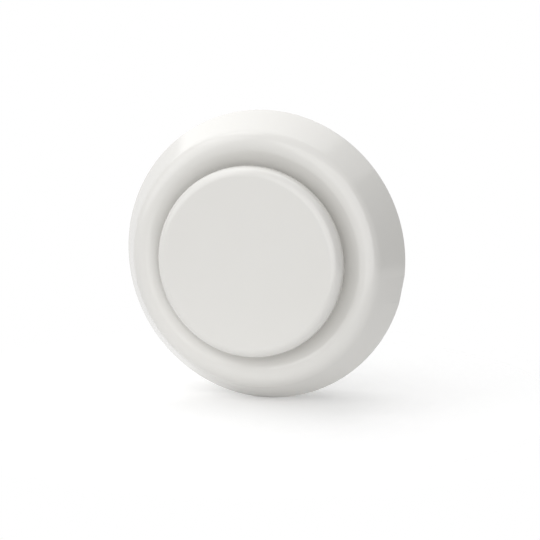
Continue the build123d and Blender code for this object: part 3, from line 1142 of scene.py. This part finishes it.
FLOOR_HALF, FLOOR_GREY, FLOOR_GLOW = 0.4, 0.9, 0.2
FADE_START, FADE_END = 0.1, 0.22
CARD_X, CARD_TOP, CARD_GREY = 0.45, 0.4, 0.3
CARD_FRONT, CARD_BACK = -0.35, 0.6
floor_z = -rim_radius * MM
floor_corners = [
    (-FLOOR_HALF, -FLOOR_HALF, floor_z),
    (FLOOR_HALF, -FLOOR_HALF, floor_z),
    (FLOOR_HALF, FLOOR_HALF, floor_z),
    (-FLOOR_HALF, FLOOR_HALF, floor_z),
]
_, tree, surface = stage_sheet("white_sheet", floor_corners, FLOOR_GREY)
surface.inputs["Emission Color"].default_value = (1, 1, 1, 1)
place = add(tree, "ShaderNodeTexCoord")
away = add(tree, "ShaderNodeVectorMath", operation="LENGTH")
fade = add(tree, "ShaderNodeMapRange", {"From Min": FADE_START, "From Max": FADE_END})
clear = add(tree, "ShaderNodeBsdfTransparent")
faded = add(tree, "ShaderNodeMixShader")
wire(
    tree,
    (white_when_seen(tree, 0, FLOOR_GLOW), surface.inputs["Emission Strength"]),
    (place.outputs["Object"], away.inputs[0]),
    (away.outputs["Value"], fade.inputs["Value"]),
    (fade.outputs["Result"], faded.inputs["Fac"]),
    (surface.outputs["BSDF"], faded.inputs[1]),
    (clear.outputs["BSDF"], faded.inputs[2]),
    (faded.outputs["Shader"], tree.nodes["Material Output"].inputs["Surface"]),
)
card_corners = [
    (CARD_X, CARD_FRONT, CARD_TOP),
    (CARD_X, CARD_BACK, CARD_TOP),
    (CARD_X, CARD_BACK, floor_z),
    (CARD_X, CARD_FRONT, floor_z),
]
card = stage_sheet("grey_card", card_corners, CARD_GREY)[0]
card.visible_camera = False
print("floor at", floor_z, "and a card at", CARD_X)

# %% [markdown]
# ## Light
# Four soft boxes light the valve. The strongest hangs above and behind on the left, so the top of
# the skirt is brightest and the shadow falls to the front and right. The others fill from the front.
# The world is white for the camera and for gloss, and a softer grey for everything else. A small lamp
# would show as a hard patch on the glossy skirt, so each box is as wide as its power needs to be just
# as bright as the white around it.


# %% Lamps and world
def soft_lamp(name, bearing, height, distance, power):
    """A square soft box that looks at the valve, placed by two angles, the front being bearing 0."""
    bearing, height = radians(bearing), radians(height)
    towards = Vector((sin(bearing) * cos(height), -cos(bearing) * cos(height), sin(height)))
    data = bpy.data.lights.new(name, "AREA")
    data.shape = "SQUARE"
    data.size = sqrt(power / pi)
    data.energy = power
    lamp = bpy.data.objects.new(name, data)
    lamp.location = towards * distance
    lamp.rotation_euler = (-towards).to_track_quat("-Z", "Y").to_euler()
    bpy.context.scene.collection.objects.link(lamp)


soft_lamp("front", bearing=20, height=14, distance=1.6, power=10.5)
soft_lamp("left", bearing=310, height=25, distance=1.4, power=4.1)
soft_lamp("back", bearing=215, height=60, distance=1.4, power=10.9)
soft_lamp("key", bearing=300, height=55, distance=1.4, power=1.6)
WORLD_LIGHT = 0.5
world = bpy.data.worlds.new("studio")
world.use_nodes = True
bpy.context.scene.world = world
tree = world.node_tree
tree.nodes.clear()
backdrop = add(tree, "ShaderNodeBackground", {"Color": (1, 1, 1, 1)})
out = add(tree, "ShaderNodeOutputWorld")
wire(
    tree,
    (white_when_seen(tree, WORLD_LIGHT, 1.0), backdrop.inputs["Strength"]),
    (backdrop.outputs["Background"], out.inputs["Surface"]),
)
bpy.context.scene.view_settings.view_transform = "Standard"

# %% [markdown]
# ## The camera
# The photograph was taken from a little to the right of the axis and a little above it, with a long
# lens. The ellipse of the rim gives both angles, and the way it shrinks towards the back gives the
# distance. The camera looks at a point just below the middle of the rim, where the picture's centre is.

# %% Camera
AZIMUTH, ELEVATION = radians(18.16), radians(10.13)
DISTANCE = 1.1
LENS = 129.4
AIM_RIGHT, AIM_UP = 3.4 * MM, -8.5 * MM
backwards = Vector((sin(AZIMUTH) * cos(ELEVATION), -cos(AZIMUTH) * cos(ELEVATION), sin(ELEVATION)))
rightwards = Vector((cos(AZIMUTH), sin(AZIMUTH), 0))
upwards = rightwards.cross(-backwards)
camera_data = bpy.data.cameras.new("camera")
camera_data.lens = LENS
camera = bpy.data.objects.new("camera", camera_data)
camera.location = rightwards * AIM_RIGHT + upwards * AIM_UP + backwards * DISTANCE
camera.rotation_euler = (-backwards).to_track_quat("-Z", "Y").to_euler()
bpy.context.scene.collection.objects.link(camera)
bpy.context.scene.camera = camera
print("camera at", [round(value, 3) for value in camera.location])
